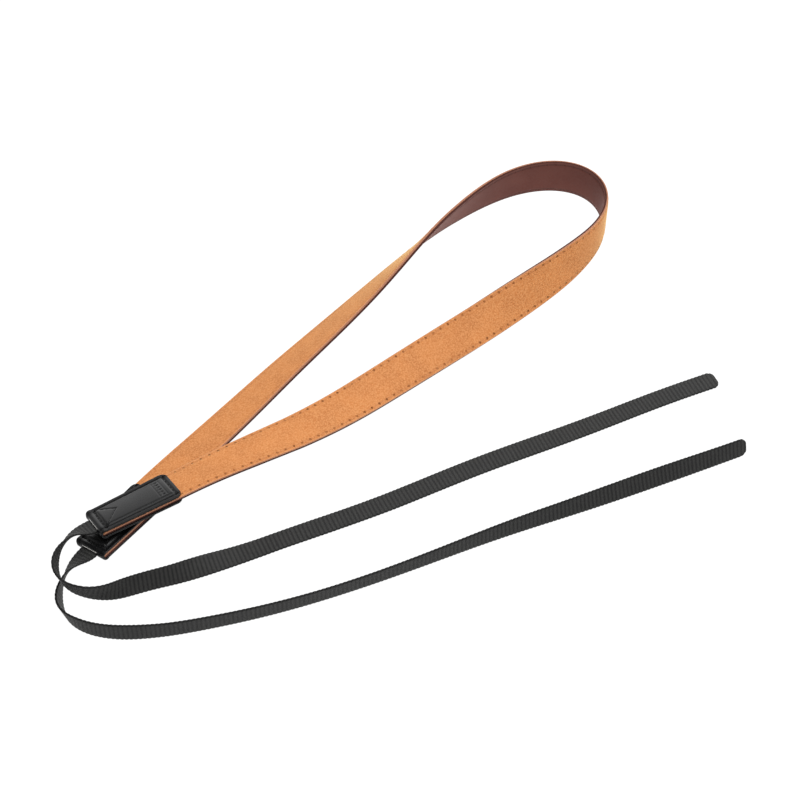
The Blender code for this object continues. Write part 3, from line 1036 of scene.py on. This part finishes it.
def black_leather(grain):
    """Smooth black leather under a soft gloss, and a pale painted highlight on the lip of the webbing's
    slot.

    The gloss is a thin coat, dulled at the rims and most in the long seams.
    """
    material, w, shader = new_material("black_leather", 0.3, 0.07)
    place = w.add("ShaderNodeTexCoord").outputs["Object"]
    flat = w.add("ShaderNodeUVMap", uv_map="flat").outputs["UV"]
    cut = w.add("ShaderNodeSeparateXYZ", {"Vector": flat}).outputs
    fine = w.group(grain, Place=place, Cell_Size=0.0006, Patch_Size=0.010)
    beside = w.maths("ABSOLUTE", cut["Y"])

    past = w.maths("ABSOLUTE", w.maths("SUBTRACT", cut["X"], TAB_CUT_LENGTH / 2 - SLOT_HALF_ARC))
    # A pale painted highlight along the slot's lip above the webbing.
    lip = w.span(past, SLOT_LIP_HIGHLIGHT * 0.6, SLOT_LIP_HIGHLIGHT, 1.0, 0.0)
    lip = w.maths("MULTIPLY", lip, w.span(beside, SLOT_HALF_WIDTH - SLOT_LIP_HIGHLIGHT, SLOT_HALF_WIDTH, 1.0, 0.0))
    colour = w.blend(fine["Patch"], BLACK_DARK, BLACK_LIGHT)
    w.feed(shader.inputs["Base Color"], w.tint(colour, lip, 0.9, LIP_HIGHLIGHT))

    past_seam = w.maths("SUBTRACT", beside, TAB_WIDTH / 2 - TAB_STITCH_INSET)
    rim = w.span(past_seam, -TAB_STITCH_INSET * 1.2, -TAB_STITCH_INSET * 0.3)
    stitch_width = TAB_STITCH[1]
    seam = w.span(w.maths("ABSOLUTE", past_seam), stitch_width / 2, stitch_width * 1.6, 1.0, 0.0)
    coat = w.maths("MULTIPLY_ADD", rim, TAB_RIM_DULLING, TAB_COAT)
    w.feed(shader.inputs["Coat Weight"], w.maths("MULTIPLY_ADD", seam, TAB_SEAM_DULLING, coat))
    shader.inputs["Coat Roughness"].default_value = TAB_COAT_ROUGHNESS
    w.feed(shader.inputs["Roughness"], w.maths("MULTIPLY_ADD", fine["Speck"], 0.12, 0.25))
    add_bump(w, shader, fine["Height"], BLACK_GRAIN_DEPTH, 0.35)
    return material


def black_webbing():
    """Woven black webbing: yarns run over each rib and dip into the grooves, which are darkened with
    painted shade, between dark selvages.
    """
    material, w, shader = new_material("black_webbing", 0.6, 0.27)
    flat = w.add("ShaderNodeUVMap", uv_map="flat").outputs["UV"]
    place = w.add("ShaderNodeSeparateXYZ", {"Vector": flat}).outputs
    yarn = w.wave(place["Y"], YARN_HALF_WIDTH)
    rib = w.wave(place["X"], RIB_PITCH / 2)
    noise, uneven = (
        w.add("ShaderNodeTexNoise", {"Vector": flat, "Scale": scale, "Detail": 2.0}).outputs["Fac"]
        for scale in (FLECKS_PER_METRE, PATCHES_PER_METRE)
    )
    crest = w.span(w.maths("MULTIPLY_ADD", uneven, 0.5, rib), *CREST_RANGE)
    fleck = w.maths("MULTIPLY", w.span(noise, *FLECK_RANGE), crest)
    off_middle = w.maths("ABSOLUTE", w.maths("SUBTRACT", place["Y"], WEBBING_WIDTH / 2))
    selvage = w.span(off_middle, SELVAGE_START, SELVAGE_FULL)
    # Painted shade darkens the grooves between the ribs.
    colour = w.blend(crest, RIB_GROOVE_SHADE, RIB_CREST)
    colour = w.tint(colour, fleck, 0.3, RIB_FLECK)
    w.feed(shader.inputs["Base Color"], w.tint(colour, selvage, 0.85, SELVAGE))
    add_bump(w, shader, w.maths("MULTIPLY_ADD", noise, 0.5, yarn), YARN_DEPTH, 0.7)
    return material


def plain_thread(name, colour, roughness):
    """Twisted sewing thread."""
    material, w, shader = new_material(name, roughness, 0.3)
    place = w.add("ShaderNodeTexCoord").outputs["Object"]
    noise = w.add("ShaderNodeTexNoise", {"Vector": place, "Scale": TWISTS_PER_METRE, "Detail": 1.0})
    twist = noise.outputs["Fac"]
    dark = tuple(c * TWIST_SHADE for c in colour)
    shown = w.blend(w.span(twist, *FLECK_RANGE), (*dark, 1), (*colour, 1))
    w.feed(shader.inputs["Base Color"], shown)
    add_bump(w, shader, twist, TWIST_DEPTH, 0.8)
    return material


def make_materials():
    """All the finishes, by name."""
    grain, rim, holes = grain_group(), rim_group(), holes_group()
    return {
        "tan_leather": tan_leather(grain, rim, holes),
        "brown_lining": brown_lining(grain, rim, holes),
        "black_leather": black_leather(grain),
        "black_webbing": black_webbing(),
        "tan_thread": plain_thread("tan_thread", TAN_THREAD, 0.7),
        "brown_thread": plain_thread("brown_thread", BROWN_THREAD, 0.6),
        "black_thread": plain_thread("black_thread", BLACK_THREAD, 0.7),
    }


def make_stage():
    """A plain pale floor that reaches far past the view, lit a little from below."""
    bm = bmesh.new()
    bmesh.ops.create_grid(bm, x_segments=1, y_segments=1, size=FLOOR_HALF_SIZE)
    mesh = bpy.data.meshes.new("floor")
    bm.to_mesh(mesh)
    bm.free()
    material, _, shader = new_material("pale_floor", 0.9, 0.2)
    shader.inputs["Base Color"].default_value = (FLOOR_SHADE, FLOOR_SHADE, FLOOR_SHADE, 1)
    shader.inputs["Emission Color"].default_value = (1, 1, 1, 1)
    shader.inputs["Emission Strength"].default_value = FLOOR_GLOW
    mesh.materials.append(material)
    floor = bpy.data.objects.new("floor", mesh)
    bpy.context.scene.collection.objects.link(floor)


def add_light(name, place, power):
    """A soft square lamp aimed at the lanyard."""
    lamp = bpy.data.lights.new(name, "AREA")
    lamp.shape = "SQUARE"
    lamp.size = LAMP_SIZE
    lamp.energy = power
    light = bpy.data.objects.new(name, lamp)
    light.location = place
    light.rotation_euler = Vector(place).to_track_quat("Z", "Y").to_euler()
    bpy.context.scene.collection.objects.link(light)


def make_light():
    """A room with a bright back wall, and large soft lamps."""
    world = bpy.data.worlds.new("studio")
    world.use_nodes = True
    w = Wiring(world.node_tree)
    backdrop = world.node_tree.nodes["Background"]
    backdrop.inputs["Color"].default_value = (1, 1, 1, 1)
    back = (math.cos(BACK_WALL_HEADING), math.sin(BACK_WALL_HEADING), BACK_WALL_RISE)
    direction = w.add("ShaderNodeTexCoord").outputs["Generated"]
    towards = w.add("ShaderNodeVectorMath", {0: direction, 1: back}, operation="DOT_PRODUCT")
    light = w.span(towards.outputs["Value"], BACK_WALL_EDGE, 1.0, ROOM_LIGHT, BACK_WALL_LIGHT)
    w.feed(backdrop.inputs["Strength"], light)
    bpy.context.scene.world = world
    for name, place, power in LAMPS:
        add_light(name, place, power)


def make_camera():
    """The photograph's view of the lanyard."""
    data = bpy.data.cameras.new("view")
    data.lens = VIEW_LENS
    data.sensor_width = VIEW_SENSOR
    camera = bpy.data.objects.new("view", data)
    towards = Vector((
        math.cos(VIEW_ELEVATION) * math.cos(VIEW_HEADING),
        math.cos(VIEW_ELEVATION) * math.sin(VIEW_HEADING),
        -math.sin(VIEW_ELEVATION),
    ))
    camera.location = VIEW_TARGET - towards * VIEW_DISTANCE
    camera.rotation_euler = towards.to_track_quat("-Z", "Y").to_euler()
    bpy.context.scene.collection.objects.link(camera)
    bpy.context.scene.camera = camera


def main():
    """The view, the light, the floor and the finishes, and then the pieces."""
    make_camera()
    make_light()
    make_stage()
    bpy.context.scene.view_settings.view_transform = "Standard"
    materials = make_materials()

    route = strap_route()
    upper = TabPlace(route, 0, -1)
    lower = TabPlace(route, -1, 1)
    stitch = new_stitch()
    make_strap(route, stitch, materials)
    make_tab("tab_upper", upper, stitch, materials)
    make_tab("tab_lower", lower, stitch, materials)
    for name, rows, length, tab, roll in (
        ("tail_upper", UPPER_TAIL_ROWS, UPPER_TAIL_LENGTH, upper, 180 - UPPER_TAB_ROLL),
        ("tail_lower", LOWER_TAIL_ROWS, LOWER_TAIL_LENGTH, lower, LOWER_TAB_ROLL),
    ):
        make_tail(name, tail_route(rows, length, tab, roll), length, materials["black_webbing"])


main()
